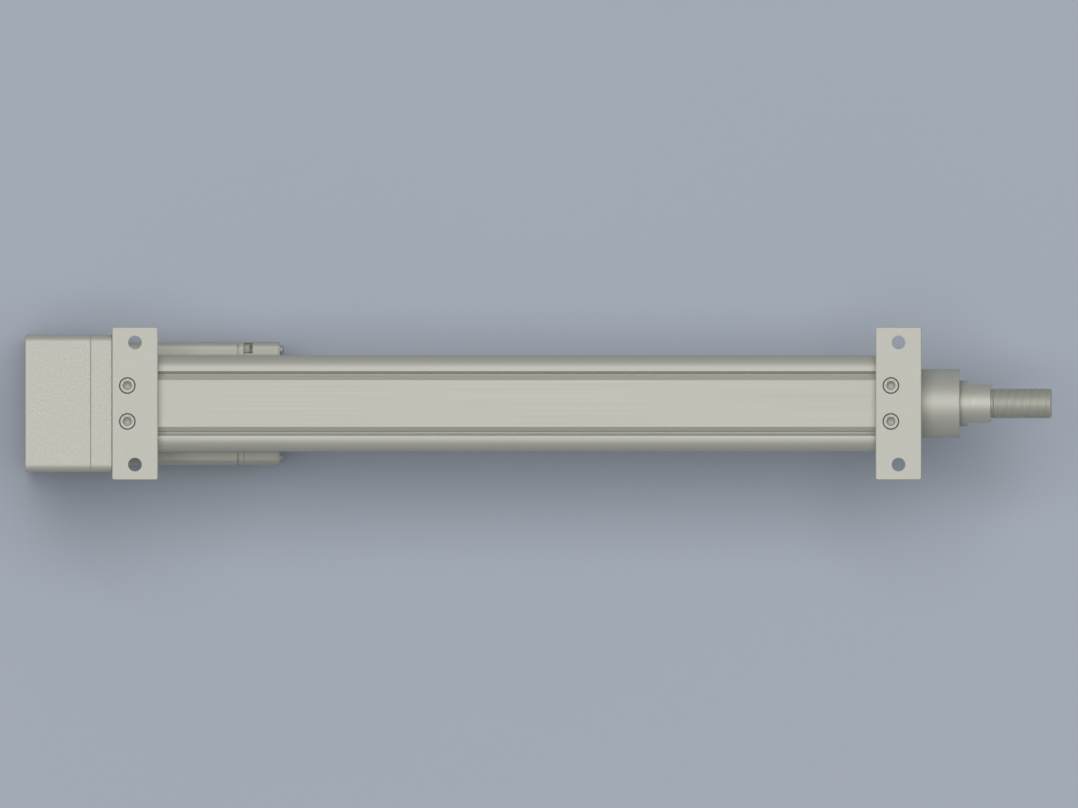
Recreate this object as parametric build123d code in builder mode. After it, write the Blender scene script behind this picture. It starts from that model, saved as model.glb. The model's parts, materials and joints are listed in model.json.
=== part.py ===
"""Electric cylinder with its servo motor folded back parallel to the tube.

A ball screw in a square extruded tube pushes a hollow rod. A toothed belt in the
housing at the back joins the screw to the motor, which lies under the tube.
Millimetres. The X axis is the rod axis and points out of the rod end, Z points up
through the two foot plates, and the origin is on the front face of the front cap.
"""

import os
from math import cos, pi, radians, sqrt

from build123d import *

os.makedirs("parts", exist_ok=True)

# Running clearances and seats
slide_play = 0.05  # rod in its bush and seals, radial
seat_play = 0.05  # spigot, pilot or cartridge in its seat, radial
thread_play = 0.05  # screw shank in its tapped hole, radial
head_play = 0.5  # screw head in its counterbore, radial
groove_play = 0.1  # key in the anti-rotation groove, each side
groove_floor_play = 0.3
belt_play = 0.05  # belt to pulley, radial
tooth_play = 0.2  # belt tooth in its pulley groove, radial

# Socket screws and edges
head_excess = 1.0  # of a socket head's diameter over one and a half threads
socket_deficit = 1.0  # of a hexagon socket's width under the thread
edge_break = 0.4
fine_edge_break = 0.3

# Stroke and the stack that fills the tube
stroke = 300.0
stroke_reserve = 2.0  # left between piston and bumper at each end of the stroke
piston_length = 130.0
bumper_thickness = 6.0
spigot_length = 12.0  # of each cap into the tube

# Extruded tube
tube_bore = 50.0
tube_wall = 6.5
tube_corner = 9.0
port_inset = 9.0  # of the screw ports in the corners from the tube's sides
port_diameter = 5.0
port_tap_spare = 3.5  # thread below the screw's end
slot_inner_edge = 15.3  # sensor slot, measured from the middle of the face
slot_inner_bevel = 2.6
slot_opening = 2.1
slot_outer_bevel = 1.2
slot_bevel_depth = 1.6
slot_channel = 4.4
slot_depth = 5.8
key_groove_width = 8.0
key_groove_depth = 2.5

# End caps, nose cartridge and foot plates
cap_length = 30.0
cap_thread = 6.0
cap_screw_grip = 23.5  # of the cap under the screw head
cap_screw_reach = 16.5  # of the screw in the tube
nose_wall = 2.5  # around the wiper
nose_step = 0.5  # nose to its thicker part inside the cap, radial
nose_length = 25.0
nose_flange_rim = 2.0  # over the tube's bore, radial
nose_flange_thickness = 4.0
foot_width = 100.0
foot_thickness = 12.0
foot_corner = 1.5
foot_hole = 9.0
foot_hole_pitch = 80.0
foot_thread = 6.0
foot_screw_pitch = 23.5
foot_screw_shift = -5.0  # from the middle of the plate, along X
foot_screw_grip = 5.2
foot_screw_length = 12.0
foot_tap_spare = 1.0

# Rod, its end and its guide
rod_wall = 3.5
rod_proud = 5.5  # round rod seen in front of the nose
collar_length = 15.0
flat_cut = 2.25  # depth of each spanner flat
end_thread = 20.0
end_thread_length = 40.0
end_relief = 1.0
end_relief_depth = 0.9
end_chamfer = 1.5
end_spigot = 25.0
centre_drill = 4.0
centre_drill_depth = 9.0
centre_drill_angle = 60.0
bush_wall = 2.5
bush_length = 30.0
seal_section = 4.0  # radial
seal_length = 8.0
wiper_section = 5.0  # radial
wiper_length = 7.0
lip_gap = 1.0  # rod hole in the metal of the nose, radial
bumper_play = 1.5  # bumper in the tube, radial

# Piston
piston_play = 0.8  # metal of the piston in the tube, radial
guide_ring_width = 10.0
guide_ring_seat_depth = 3.0  # under the tube's bore
guide_ring_inset = 8.0
guide_play = 0.07
key_length = 40.0
key_seat_depth = 5.0  # under the tube's bore
magnet_width = 5.0
magnet_seat_depth = 5.0  # under the tube's bore
magnet_inset = 5.0  # in front of the rear guide ring
magnet_cover = 1.2  # between the magnet ring and the tube bore
nut_wall = 8.0
nut_length = 48.0
lock_ring_length = 4.0
lock_ring_room = 2.0  # to the screw, radial
lock_ring_pin = 3.0
rod_seat_depth = 30.0

# Ball screw and its bearings
screw_diameter = 20.0
screw_room = 1.5  # in the hollow rod, radial
nut_play = 0.1
screw_overrun = 18.0  # screw in front of the nut at full stroke
tip_journal = 12.0
tip_journal_length = 12.0
tip_play = 0.1
bearing_bore = 17.0
bearing_diameter = 40.0
bearing_width = 12.0
bearing_count = 2
pair_gap = 0.05  # between the faces of paired bearings
bearing_shoulder_height = 3.0
ring_thickness = 3.0
ring_gap = 0.2
shield_thickness = 1.0
shield_inset = 0.5
lock_nut_wall = 5.5
lock_nut_width = 6.0
lock_nut_slot = 5.0
lock_nut_slot_depth = 2.0

# Belt drive
belt_pitch = 5.0
pulley_teeth = 28
span_teeth = 16  # belt teeth on each straight span, which sets the distance of the axes
belt_width = 25.0
belt_tooth_radius = 1.45
belt_tooth_height = 2.06
pitch_line_height = 0.57  # belt pitch line over the pulley's outer diameter
belt_back_height = 1.17  # belt back over its pitch line
pulley_width = 26.0
pulley_to_plate = 3.0
pulley_flange_thickness = 1.2
pulley_flange_rise = 1.2  # over the back of the belt
pulley_shaft = 14.0
pulley_key = 5.0
pulley_key_length = 20.0
key_sink = 0.6  # share of a key's height that lies in the shaft
key_play = 0.1
shaft_end_inset = 2.0
shaft_tap_depth = 14.0
pulley_bolt_thread = 5.0
pulley_bolt_length = 16.0
washer_thickness = 2.5
washer_rim = 4.5  # beyond the motor shaft, radial

# Belt housing
housing_width = 90.0
housing_above_axis = 40.0
housing_below_motor = 45.0  # from the motor axis down
housing_corner = 5.0
housing_thickness = 14.0
cover_depth = 43.0
cover_wall = 4.0
cover_edge_radius = 0.8
cover_thread = 5.0
cover_screw_inset = 6.5
cover_middle_drop = 25.0  # of the middle pair of cover screws under the rod axis
cover_screw_grip = 35.0
cover_screw_reach = 10.0
cover_tap_spare = 2.0
cover_boss = 12.0
gasket_width = 2.0
gasket_depth = 1.5
housing_thread = 5.0
housing_screw_circle = 52.0
housing_screw_grip = 8.5
housing_screw_length = 18.0
housing_tap_spare = 2.5

# Servo motor
motor_land = 39.75  # half width over the flat lands beside each corner
motor_corner = 3.5
motor_panel_inset = 6.05  # from the motor's side
motor_panel_height = 0.5
motor_panel_radius = 5.0
motor_flange_thickness = 17.0
motor_pilot = 70.0
motor_pilot_height = 3.0
motor_bolt_circle = 90.0
motor_thread = 6.0
motor_screw_grip = 7.5
motor_screw_length = 16.0
motor_tap_spare = 0.5
motor_slot_travel = 3.0
motor_shaft_hole = 30.0
motor_body_length = 65.1
bell_neck = 0.9
bell_neck_inset = 0.9
bell_length = 4.2
bell_wall = 1.5
bell_spigot = 5.0
bell_spigot_wall = 6.0
encoder_case_length = 22.7
encoder_lid_thickness = 1.0
encoder_cavity = 62.0
corner_screw_inset = 4.45  # from the flat lands
corner_thread = 4.0
corner_screw_reach = 5.5
corner_tap_spare = 1.0
corner_pocket_radius = 5.2
corner_pocket_length = 5.8
lid_thread = 3.0
lid_screw_head = 6.0
lid_screw_height = 2.5
lid_screw_round = 1.6
lid_screw_length = 8.0
lid_tap_spare = 2.0
case_thread = 3.0
case_screw_spacing = 8.3  # from the corner screws, along Y and Z
case_screw_grip = 6.0
case_screw_length = 9.0
case_tap_spare = 0.5

# Motor inside
motor_wall = 3.75
stator_bore = 44.0
stator_length = 38.0
stator_slots = 12
stator_yoke = 6.0
stator_slot_width = 5.4
stator_slot_mouth = 2.0  # width of the slot's opening to the bore
stator_tooth_tip = 1.5
stator_inset = 2.0
coil_overhang = 8.0
coil_setback = 1.5  # from the stator's bore, radial
air_gap = 0.5
rotor_overhang = 2.0
rotor_bore = 24.0
shaft_diameter = 19.0
shaft_reach = 40.0  # out of the motor's mounting face
shaft_key = 6.0
shaft_key_length = 20.0
front_journal = 20.0
front_bearing_diameter = 42.0
front_bearing_width = 12.0
rear_journal = 15.0
rear_bearing_diameter = 35.0
rear_bearing_width = 11.0
shaft_seal_diameter = 32.0
shaft_seal_width = 5.0
bell_hub_wall = 4.5
encoder_journal = 8.0
encoder_disc_diameter = 36.0
encoder_disc_thickness = 2.0
encoder_disc_inset = 5.0
encoder_board_diameter = 56.0
encoder_board_thickness = 1.6
encoder_post = 5.0
encoder_post_circle = 48.0
encoder_post_height = 12.0
encoder_posts = 3

# Connectors under the motor
connector_base = 20.0
connector_base_height = 3.0
connector_base_corner = 2.0
connector_barrel = 17.0
connector_barrel_length = 14.0
connector_wall = 1.5
connector_socket_depth = 9.0
connector_insert = 9.0
connector_insert_drop = 5.0  # below the socket's mouth
power_connector_inset = 22.0  # in front of the motor body's back end

# Diameters and widths that follow from others
tube_size = tube_bore + 2 * tube_wall
port_pitch = tube_size - 2 * port_inset
rod_bore = screw_diameter + 2 * screw_room
rod_diameter = rod_bore + 2 * rod_wall
flat_width = rod_diameter - 2 * flat_cut
bush_diameter = rod_diameter + 2 * bush_wall
seal_diameter = rod_diameter + 2 * seal_section
wiper_diameter = rod_diameter + 2 * wiper_section
nose_diameter = wiper_diameter + 2 * nose_wall
nose_seat_diameter = nose_diameter + 2 * nose_step
nose_flange_diameter = tube_bore + 2 * nose_flange_rim
bumper_diameter = tube_bore - 2 * bumper_play
piston_diameter = tube_bore - 2 * piston_play
guide_ring_seat = tube_bore - 2 * guide_ring_seat_depth
key_seat_diameter = tube_bore - 2 * key_seat_depth
magnet_bore = tube_bore - 2 * magnet_seat_depth
nut_diameter = screw_diameter + 2 * nut_wall
lock_ring_bore = screw_diameter + 2 * lock_ring_room
bearing_shoulder = bearing_diameter - 2 * bearing_shoulder_height
lock_nut_diameter = bearing_bore + 2 * lock_nut_wall
washer_diameter = shaft_diameter + 2 * washer_rim
motor_panel_edge = motor_land - motor_panel_inset
corner_screw_offset = motor_land - corner_screw_inset
case_screw_offset = corner_screw_offset - case_screw_spacing
stator_diameter = 2 * (motor_land - motor_wall)
bell_hub_diameter = rear_bearing_diameter + 2 * bell_hub_wall

# Depths of tapped holes
port_tap_depth = cap_screw_reach + port_tap_spare
foot_tap_depth = foot_screw_length - foot_screw_grip + foot_tap_spare
cover_tap_depth = cover_screw_reach + cover_tap_spare
housing_tap_depth = housing_screw_length - housing_screw_grip + housing_tap_spare
motor_tap_depth = motor_screw_length - motor_screw_grip + motor_tap_spare
corner_tap_depth = corner_screw_reach + corner_tap_spare
lid_tap_depth = lid_screw_length - encoder_lid_thickness + lid_tap_spare
case_tap_depth = case_screw_length - case_screw_grip + case_tap_spare

# Places along X
tube_length = 2 * (spigot_length + bumper_thickness + stroke_reserve) + piston_length + stroke
tube_front = -cap_length
tube_back = tube_front - tube_length
cap_back = tube_back - cap_length
housing_back = cap_back - housing_thickness
cover_back = housing_back - cover_depth
front_spigot_end = tube_front - spigot_length
rear_spigot_end = tube_back + spigot_length
front_stop = front_spigot_end - bumper_thickness
rear_stop = rear_spigot_end + bumper_thickness
piston_back = rear_stop + stroke_reserve
piston_front = piston_back + piston_length
nut_back = piston_back + lock_ring_length
nut_front = nut_back + nut_length
rod_back = piston_front - rod_seat_depth
rod_front = nose_length + rod_proud
collar_front = rod_front + collar_length
bearing_pitch = bearing_width + pair_gap
bearing_front = cap_back + (bearing_count - 1) * bearing_pitch + bearing_width
screw_front = nut_front + stroke + screw_overrun
pulley_front = housing_back - pulley_to_plate
pulley_back = pulley_front - pulley_width
belt_front = pulley_front - (pulley_width - belt_width) / 2
motor_body_front = cap_back + motor_flange_thickness
motor_body_back = motor_body_front + motor_body_length
bell_back = motor_body_back + bell_length
case_back = bell_back + encoder_case_length
lid_back = case_back + encoder_lid_thickness
rear_bearing_back = bell_back - bell_wall
rear_bearing_front = rear_bearing_back - rear_bearing_width

# Places across the axis
foot_seat = tube_size / 2
foot_face = foot_seat + foot_thickness
motor_z = -belt_pitch * span_teeth
housing_top = housing_above_axis
housing_bottom = motor_z - housing_below_motor
housing_height = housing_top - housing_bottom
housing_middle = (housing_top + housing_bottom) / 2
pulley_radius = belt_pitch * pulley_teeth / (2 * pi) - pitch_line_height
belt_inner_radius = pulley_radius + belt_play
belt_outer_radius = pulley_radius + pitch_line_height + belt_back_height
motor_face = motor_land + motor_panel_height
motor_bolt_offset = motor_bolt_circle / 2 * cos(radians(45))
housing_screw_radius = housing_screw_circle / 2


def square_points(half, z=0.0):
    """The four corners of a square about the rod axis, or about a line below it."""
    return [(y, z + height) for y in (-half, half) for height in (-half, half)]


def seats(points, x, direction):
    """Seat planes at points of the face at x, with their normals along plus or minus X."""
    return [Plane(origin=(x, y, z), z_dir=(direction, 0, 0)) for y, z in points]


def head_diameter(thread):
    """Head of a socket screw, which is as high as its thread is wide."""
    return 1.5 * thread + head_excess


def clearance_hole(thread):
    """Radius of the hole that a screw passes through."""
    return 0.55 * thread


def counterbored(thread, head_depth, places):
    """Clearance holes with counterbores for socket screw heads, at seat planes on the face."""
    with Locations(*places):
        CounterBoreHole(clearance_hole(thread), head_diameter(thread) / 2 + head_play, head_depth)


def drilled(radius, depth, places):
    """Round holes of one depth, at seat planes on the face."""
    with Locations(*places):
        Hole(radius, depth)


def tapped(thread, depth, places):
    """Tapped holes, plain at the screw's outer diameter, at seat planes on the face."""
    drilled(thread / 2 + thread_play, depth, places)


def turned(start, end, diameter, bore=0.0, z=0.0, mode=Mode.ADD):
    """A cylinder or ring about a line along X at height z, from one x to another."""
    with BuildSketch(Plane.YZ.offset(start)) as section:
        with Locations((0, z)):
            Circle(diameter / 2)
            if bore:
                Circle(bore / 2, mode=Mode.SUBTRACT)
    extrude(section.sketch, amount=end - start, mode=mode)


def cap_screw(thread, length):
    """A hexagon socket head cap screw, seated at z = 0 with its shank downwards."""
    with BuildPart() as screw:
        with BuildSketch():
            Circle(head_diameter(thread) / 2)
        extrude(amount=thread)
        with BuildSketch():
            Circle(thread / 2)
        extrude(amount=-length)
        with BuildSketch(Plane.XY.offset(thread)):
            RegularPolygon((thread - socket_deficit) / 2, 6, major_radius=False)
        extrude(amount=-thread / 2, mode=Mode.SUBTRACT)
    return screw.part


def screw_set(screw, places):
    """One screw at each of several seat planes, in one sub-part."""
    with BuildPart() as group:
        with Locations(*places):
            add(screw)
    return group


def ease_end(size, place=-1):
    """Break the outer edges of a piece's front end face, or of its back one with place 0."""
    chamfer(faces().sort_by(Axis.X)[place].outer_wire().edges(), size)


def ease_both_ends(size):
    """Break the outer edges of both end faces of a piece."""
    ease_end(size, 0)
    ease_end(size)


def finish(piece, name):
    """Name a finished sub-part and write it."""
    piece.part.label = name
    export_step(piece.part, f"parts/{name}.step")


# Tube: one extrusion with sensor slots on every face and screw ports in the corners
slot_floor = slot_inner_edge + slot_inner_bevel
slot_outer_edge = slot_floor + slot_opening + slot_outer_bevel
slot_middle = slot_floor + slot_opening / 2
channel_height = tube_size / 2 - slot_depth + slot_channel / 2
port_points = square_points(port_pitch / 2)

with BuildSketch() as sensor_slot:
    Polygon(
        (slot_inner_edge, tube_size / 2),
        (slot_floor, tube_size / 2 - slot_bevel_depth),
        (slot_floor, channel_height),
        (slot_floor + slot_opening, channel_height),
        (slot_floor + slot_opening, tube_size / 2 - slot_bevel_depth),
        (slot_outer_edge, tube_size / 2),
    )
    with Locations((slot_middle, channel_height)):
        Circle(slot_channel / 2)
    mirror(about=Plane.YZ)

with BuildPart() as barrel:
    with BuildSketch(Plane.YZ.offset(tube_back)):
        RectangleRounded(tube_size, tube_size, tube_corner)
        Circle(tube_bore / 2, mode=Mode.SUBTRACT)
        Rectangle(tube_bore + 2 * key_groove_depth, key_groove_width, mode=Mode.SUBTRACT)
        with GridLocations(port_pitch, port_pitch, 2, 2):
            Circle(port_diameter / 2, mode=Mode.SUBTRACT)
        with PolarLocations(0, 4):
            add(sensor_slot.sketch_local, mode=Mode.SUBTRACT)
    extrude(amount=tube_length)
    tapped(cap_thread, port_tap_depth, seats(port_points, tube_front, 1))
    tapped(cap_thread, port_tap_depth, seats(port_points, tube_back, -1))
finish(barrel, "barrel")


def square_block(start, end):
    """A length of the tube's outline, for the two caps."""
    with BuildSketch(Plane.YZ.offset(start)) as outline:
        RectangleRounded(tube_size, tube_size, tube_corner)
    extrude(outline.sketch, amount=end - start)


def foot_seats(middle, height):
    """Seat planes of the two screws that hold a foot plate, at its face or its seat."""
    x = middle + foot_screw_shift
    return [Plane((x, y, height)) for y in (-foot_screw_pitch / 2, foot_screw_pitch / 2)]


# Front cap: counterbored for the four tube screws, bored for the nose cartridge
cap_head_depth = cap_length - cap_screw_grip
front_foot_middle = tube_front + cap_length / 2
nose_flange_front = tube_front + nose_flange_thickness

with BuildPart() as front_cap:
    square_block(tube_front, 0)
    ease_both_ends(edge_break)
    turned(tube_front, 0, nose_seat_diameter + 2 * seat_play, mode=Mode.SUBTRACT)
    flange_recess = nose_flange_diameter + 2 * seat_play
    turned(tube_front, nose_flange_front, flange_recess, mode=Mode.SUBTRACT)
    counterbored(cap_thread, cap_head_depth, seats(port_points, 0, 1))
    tapped(foot_thread, foot_tap_depth, foot_seats(front_foot_middle, foot_seat))
finish(front_cap, "front_cap")

# Rear cap: holds the screw bearings, which go in from the back against a shoulder
rear_foot_middle = cap_back + cap_length / 2
housing_screw_points = [
    (housing_screw_radius, 0),
    (0, housing_screw_radius),
    (-housing_screw_radius, 0),
    (0, -housing_screw_radius),
]

with BuildPart() as rear_cap:
    square_block(cap_back, tube_back)
    ease_both_ends(edge_break)
    turned(tube_back, rear_spigot_end, tube_bore - 2 * seat_play)
    turned(cap_back, rear_spigot_end, bearing_shoulder, mode=Mode.SUBTRACT)
    turned(cap_back, bearing_front, bearing_diameter, mode=Mode.SUBTRACT)
    counterbored(cap_thread, cap_head_depth, seats(port_points, cap_back, -1))
    tapped(housing_thread, housing_tap_depth, seats(housing_screw_points, cap_back, -1))
    tapped(foot_thread, foot_tap_depth, foot_seats(rear_foot_middle, foot_seat))
finish(rear_cap, "rear_cap")

# Socket screws that tie both caps to the tube
tie_screw = cap_screw(cap_thread, cap_screw_grip + cap_screw_reach)

front_cap_screws = screw_set(tie_screw, seats(port_points, -cap_head_depth, 1))
finish(front_cap_screws, "front_cap_screws")

rear_cap_screws = screw_set(tie_screw, seats(port_points, cap_back + cap_head_depth, -1))
finish(rear_cap_screws, "rear_cap_screws")

# Foot plates: one on each cap, with two through holes and two counterbored screws
foot_screw = cap_screw(foot_thread, foot_screw_length)
foot_head_depth = foot_thickness - foot_screw_grip

for end, middle in (("front", front_foot_middle), ("rear", rear_foot_middle)):
    with BuildPart() as foot_plate:
        with BuildSketch(Plane((middle, 0, foot_seat))):
            RectangleRounded(cap_length, foot_width, foot_corner)
            with GridLocations(0, foot_hole_pitch, 1, 2):
                Circle(foot_hole / 2, mode=Mode.SUBTRACT)
        extrude(amount=foot_thickness)
        for side in (faces().sort_by(Axis.Z)[0], faces().sort_by(Axis.Z)[-1]):
            chamfer(side.outer_wire().edges(), edge_break)
        counterbored(foot_thread, foot_head_depth, foot_seats(middle, foot_face))
    finish(foot_plate, f"{end}_foot_plate")

    foot_screws = screw_set(foot_screw, foot_seats(middle, foot_face - foot_head_depth))
    finish(foot_screws, f"{end}_foot_screws")

# Nose cartridge: its flange is held between cap and tube, and its spigot centres the tube
seal_front = nose_length - wiper_length
seal_back = seal_front - seal_length
bush_front = front_spigot_end + bush_length

with BuildPart() as nose_cartridge:
    turned(0, nose_length, nose_diameter)
    ease_end(edge_break)
    turned(tube_front, 0, nose_seat_diameter)
    turned(tube_front, nose_flange_front, nose_flange_diameter)
    turned(front_spigot_end, tube_front, tube_bore - 2 * seat_play)
    turned(front_spigot_end, nose_length, rod_diameter + 2 * lip_gap, mode=Mode.SUBTRACT)
    turned(front_spigot_end, bush_front, bush_diameter, mode=Mode.SUBTRACT)
    turned(seal_back, nose_length, seal_diameter, mode=Mode.SUBTRACT)
    turned(seal_front, nose_length, wiper_diameter, mode=Mode.SUBTRACT)
finish(nose_cartridge, "nose_cartridge")

with BuildPart() as rod_bush:
    turned(front_spigot_end, bush_front, bush_diameter, rod_diameter + 2 * slide_play)
finish(rod_bush, "rod_bush")

# Rod seal: a cup with its two lips towards the tube
lip_radius = rod_diameter / 2 + slide_play
seal_outer = seal_diameter / 2
seal_wall = (seal_outer - lip_radius) / 4

with BuildPart() as rod_seal:
    with BuildSketch(Plane.XZ) as seal_section:
        Polygon(
            (seal_front, lip_radius + seal_wall / 2),
            (seal_front, seal_outer),
            (seal_back, seal_outer),
            (seal_back, seal_outer - seal_wall),
            (seal_back + seal_length / 2, seal_outer - 1.5 * seal_wall),
            (seal_back + seal_length / 2, lip_radius + 1.5 * seal_wall),
            (seal_back, lip_radius + seal_wall),
            (seal_back + seal_wall, lip_radius),
        )
    revolve(seal_section.sketch, axis=Axis.X)
finish(rod_seal, "rod_seal")

# Rod wiper: its one lip points out of the nose
wiper_outer = wiper_diameter / 2
wiper_wall = (wiper_outer - lip_radius) / 4

with BuildPart() as rod_wiper:
    with BuildSketch(Plane.XZ) as wiper_section:
        Polygon(
            (seal_front, lip_radius + wiper_wall),
            (seal_front, wiper_outer),
            (nose_length, wiper_outer),
            (nose_length, wiper_outer - wiper_wall),
            (nose_length - wiper_length / 2, wiper_outer - 1.5 * wiper_wall),
            (nose_length - wiper_wall / 2, lip_radius + wiper_wall / 2),
            (nose_length - wiper_wall / 2, lip_radius),
        )
    revolve(wiper_section.sketch, axis=Axis.X)
finish(rod_wiper, "rod_wiper")

# Bumpers at both ends of the stroke
with BuildPart() as front_bumper:
    turned(front_stop, front_spigot_end, bumper_diameter, bush_diameter)
finish(front_bumper, "front_bumper")

with BuildPart() as rear_bumper:
    turned(rear_spigot_end, rear_stop, bumper_diameter, bearing_shoulder)
finish(rear_bumper, "rear_bumper")

# Piston: carries the ball nut, the rod, two guide rings, the magnet and two keys
rear_ring_back = piston_back + guide_ring_inset
front_ring_back = piston_front - guide_ring_inset - guide_ring_width
ring_backs = (rear_ring_back, front_ring_back)
magnet_back = rear_ring_back + guide_ring_width + magnet_inset
key_width = key_groove_width - 2 * groove_play
key_seat = key_seat_diameter / 2
key_height = tube_bore / 2 + key_groove_depth - groove_floor_play - key_seat
key_middle = (nut_front + rod_back) / 2


def anti_rotation_key_blocks(mode=Mode.ADD):
    """Two blocks that stand out of the piston to both sides, or the pockets that hold them."""
    for side in (-1, 1):
        with BuildSketch(Plane((key_middle, side * key_seat, 0), (1, 0, 0), (0, side, 0))) as foot:
            Rectangle(key_length, key_width)
        extrude(foot.sketch, amount=key_height, mode=mode)


with BuildPart() as nut_carrier:
    turned(piston_back, piston_front, piston_diameter)
    turned(piston_back, nut_front, nut_diameter + 2 * seat_play, mode=Mode.SUBTRACT)
    turned(nut_front, rod_back, rod_bore, mode=Mode.SUBTRACT)
    turned(rod_back, piston_front, rod_diameter + 2 * seat_play, mode=Mode.SUBTRACT)
    for back in ring_backs:
        turned(back, back + guide_ring_width, tube_bore, guide_ring_seat, mode=Mode.SUBTRACT)
    turned(magnet_back, magnet_back + magnet_width, tube_bore, magnet_bore, mode=Mode.SUBTRACT)
    anti_rotation_key_blocks(Mode.SUBTRACT)
finish(nut_carrier, "nut_carrier")

with BuildPart() as guide_rings:
    for back in ring_backs:
        turned(back, back + guide_ring_width, tube_bore - 2 * guide_play, guide_ring_seat)
finish(guide_rings, "guide_rings")

with BuildPart() as magnet_ring:
    magnet_diameter = tube_bore - 2 * magnet_cover
    turned(magnet_back, magnet_back + magnet_width, magnet_diameter, magnet_bore)
finish(magnet_ring, "magnet_ring")

with BuildPart() as anti_rotation_keys:
    anti_rotation_key_blocks()
finish(anti_rotation_keys, "anti_rotation_keys")

with BuildPart() as ball_nut:
    turned(nut_back, nut_front, nut_diameter, screw_diameter + 2 * nut_play)
finish(ball_nut, "ball_nut")

# Lock ring: threads in behind the nut and has two holes for a pin spanner
pin_circle_radius = (nut_diameter + lock_ring_bore) / 4

with BuildPart() as nut_lock_ring:
    turned(piston_back, nut_back, nut_diameter, lock_ring_bore)
    pin_points = [(-pin_circle_radius, 0), (pin_circle_radius, 0)]
    drilled(lock_ring_pin / 2, lock_ring_length, seats(pin_points, piston_back, -1))
finish(nut_lock_ring, "nut_lock_ring")

# Hollow rod and its end, which has a collar with two spanner flats and a male thread
with BuildPart() as piston_rod:
    turned(rod_back, rod_front, rod_diameter, rod_bore)
finish(piston_rod, "piston_rod")

thread_front = collar_front + end_thread_length
relief_front = collar_front + end_relief

with BuildPart() as rod_end:
    turned(rod_front - end_spigot, rod_front, rod_bore - 2 * seat_play)
    turned(rod_front, collar_front, rod_diameter)
    for side in (-1, 1):
        with BuildSketch(Plane((rod_front, side * flat_width / 2, 0), (1, 0, 0), (0, side, 0))):
            Rectangle(collar_length, rod_diameter, align=(Align.MIN, Align.CENTER))
        extrude(amount=flat_cut, mode=Mode.SUBTRACT)
    turned(collar_front, relief_front, end_thread - 2 * end_relief_depth)
    turned(relief_front, thread_front, end_thread)
    chamfer(faces().sort_by(Axis.X)[-1].edges(), end_chamfer)
    with Locations(Plane((thread_front, 0, 0), z_dir=(1, 0, 0))):
        CounterSinkHole(centre_drill / 2, centre_drill, centre_drill_depth, centre_drill_angle)
finish(rod_end, "rod_end")

# Ball screw: plain at its outer diameter, with journals for bearings, pulley and tip bush
screw_back = pulley_back + shaft_end_inset
tip_front = screw_front + tip_journal_length
lock_nut_back = cap_back - lock_nut_width
screw_key_bottom = pulley_shaft / 2 - key_sink * pulley_key
pulley_middle = (pulley_front + pulley_back) / 2


def key_block(size, length, bottom, height, axis_z=0.0, mode=Mode.ADD):
    """A key on top of a shaft under the pulleys, or the slot that it lies in."""
    with BuildSketch(Plane((pulley_middle, 0, axis_z + bottom))) as outline:
        Rectangle(length, size)
    extrude(outline.sketch, amount=height, mode=mode)


with BuildPart() as ball_screw:
    turned(bearing_front, screw_front, screw_diameter)
    turned(screw_front, tip_front, tip_journal)
    turned(lock_nut_back, bearing_front, bearing_bore)
    turned(screw_back, lock_nut_back, pulley_shaft)
    key_block(pulley_key, pulley_key_length, screw_key_bottom, pulley_key, mode=Mode.SUBTRACT)
    tapped(pulley_bolt_thread, shaft_tap_depth, seats([(0, 0)], screw_back, -1))
finish(ball_screw, "ball_screw")

with BuildPart() as screw_tip_bush:
    turned(screw_front, tip_front, rod_bore - 2 * tip_play, tip_journal)
finish(screw_tip_bush, "screw_tip_bush")


def outer_ring(start, bore, diameter, width, z=0.0):
    """Outer ring of a sealed ball bearing, with its two shields."""
    turned(start, start + width, diameter, diameter - 2 * ring_thickness, z)
    shield_bore = bore + 2 * ring_thickness + 2 * ring_gap
    for shield in (start + shield_inset, start + width - shield_inset - shield_thickness):
        turned(shield, shield + shield_thickness, diameter - ring_thickness, shield_bore, z)


def inner_ring(start, bore, width, z=0.0):
    """Inner ring of a sealed ball bearing."""
    turned(start, start + width, bore + 2 * ring_thickness, bore, z)


screw_bearing_backs = [cap_back + i * bearing_pitch for i in range(bearing_count)]

with BuildPart() as screw_bearing_outer_rings:
    for back in screw_bearing_backs:
        outer_ring(back, bearing_bore, bearing_diameter, bearing_width)
finish(screw_bearing_outer_rings, "screw_bearing_outer_rings")

with BuildPart() as screw_bearing_inner_rings:
    for back in screw_bearing_backs:
        inner_ring(back, bearing_bore, bearing_width)
finish(screw_bearing_inner_rings, "screw_bearing_inner_rings")

# Lock nut with four spanner slots, which clamps the inner rings on the screw
with BuildPart() as screw_lock_nut:
    turned(lock_nut_back, cap_back, lock_nut_diameter, bearing_bore)
    with BuildSketch(Plane.YZ.offset(lock_nut_back)):
        with PolarLocations(lock_nut_diameter / 2, 4):
            Rectangle(2 * lock_nut_slot_depth, lock_nut_slot)
    extrude(amount=lock_nut_width, mode=Mode.SUBTRACT)
finish(screw_lock_nut, "screw_lock_nut")

# Pulleys: round-tooth profile, in mesh with the belt at rest
tooth_angle = 360 / pulley_teeth
tooth_centre_radius = pulley_radius + belt_tooth_radius - belt_tooth_height


def pulley_body(bore, key_size, key_top, z):
    """A toothed pulley with a keyed bore, about a line along X at height z."""
    with BuildSketch(Plane.YZ.offset(pulley_back)) as section:
        with Locations((0, z)):
            Circle(pulley_radius)
            Circle(bore / 2, mode=Mode.SUBTRACT)
            with PolarLocations(tooth_centre_radius, pulley_teeth, tooth_angle / 2):
                Circle(belt_tooth_radius + tooth_play, mode=Mode.SUBTRACT)
            Rectangle(
                key_size, key_top + key_play, align=(Align.CENTER, Align.MIN), mode=Mode.SUBTRACT
            )
    extrude(section.sketch, amount=pulley_width)


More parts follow.
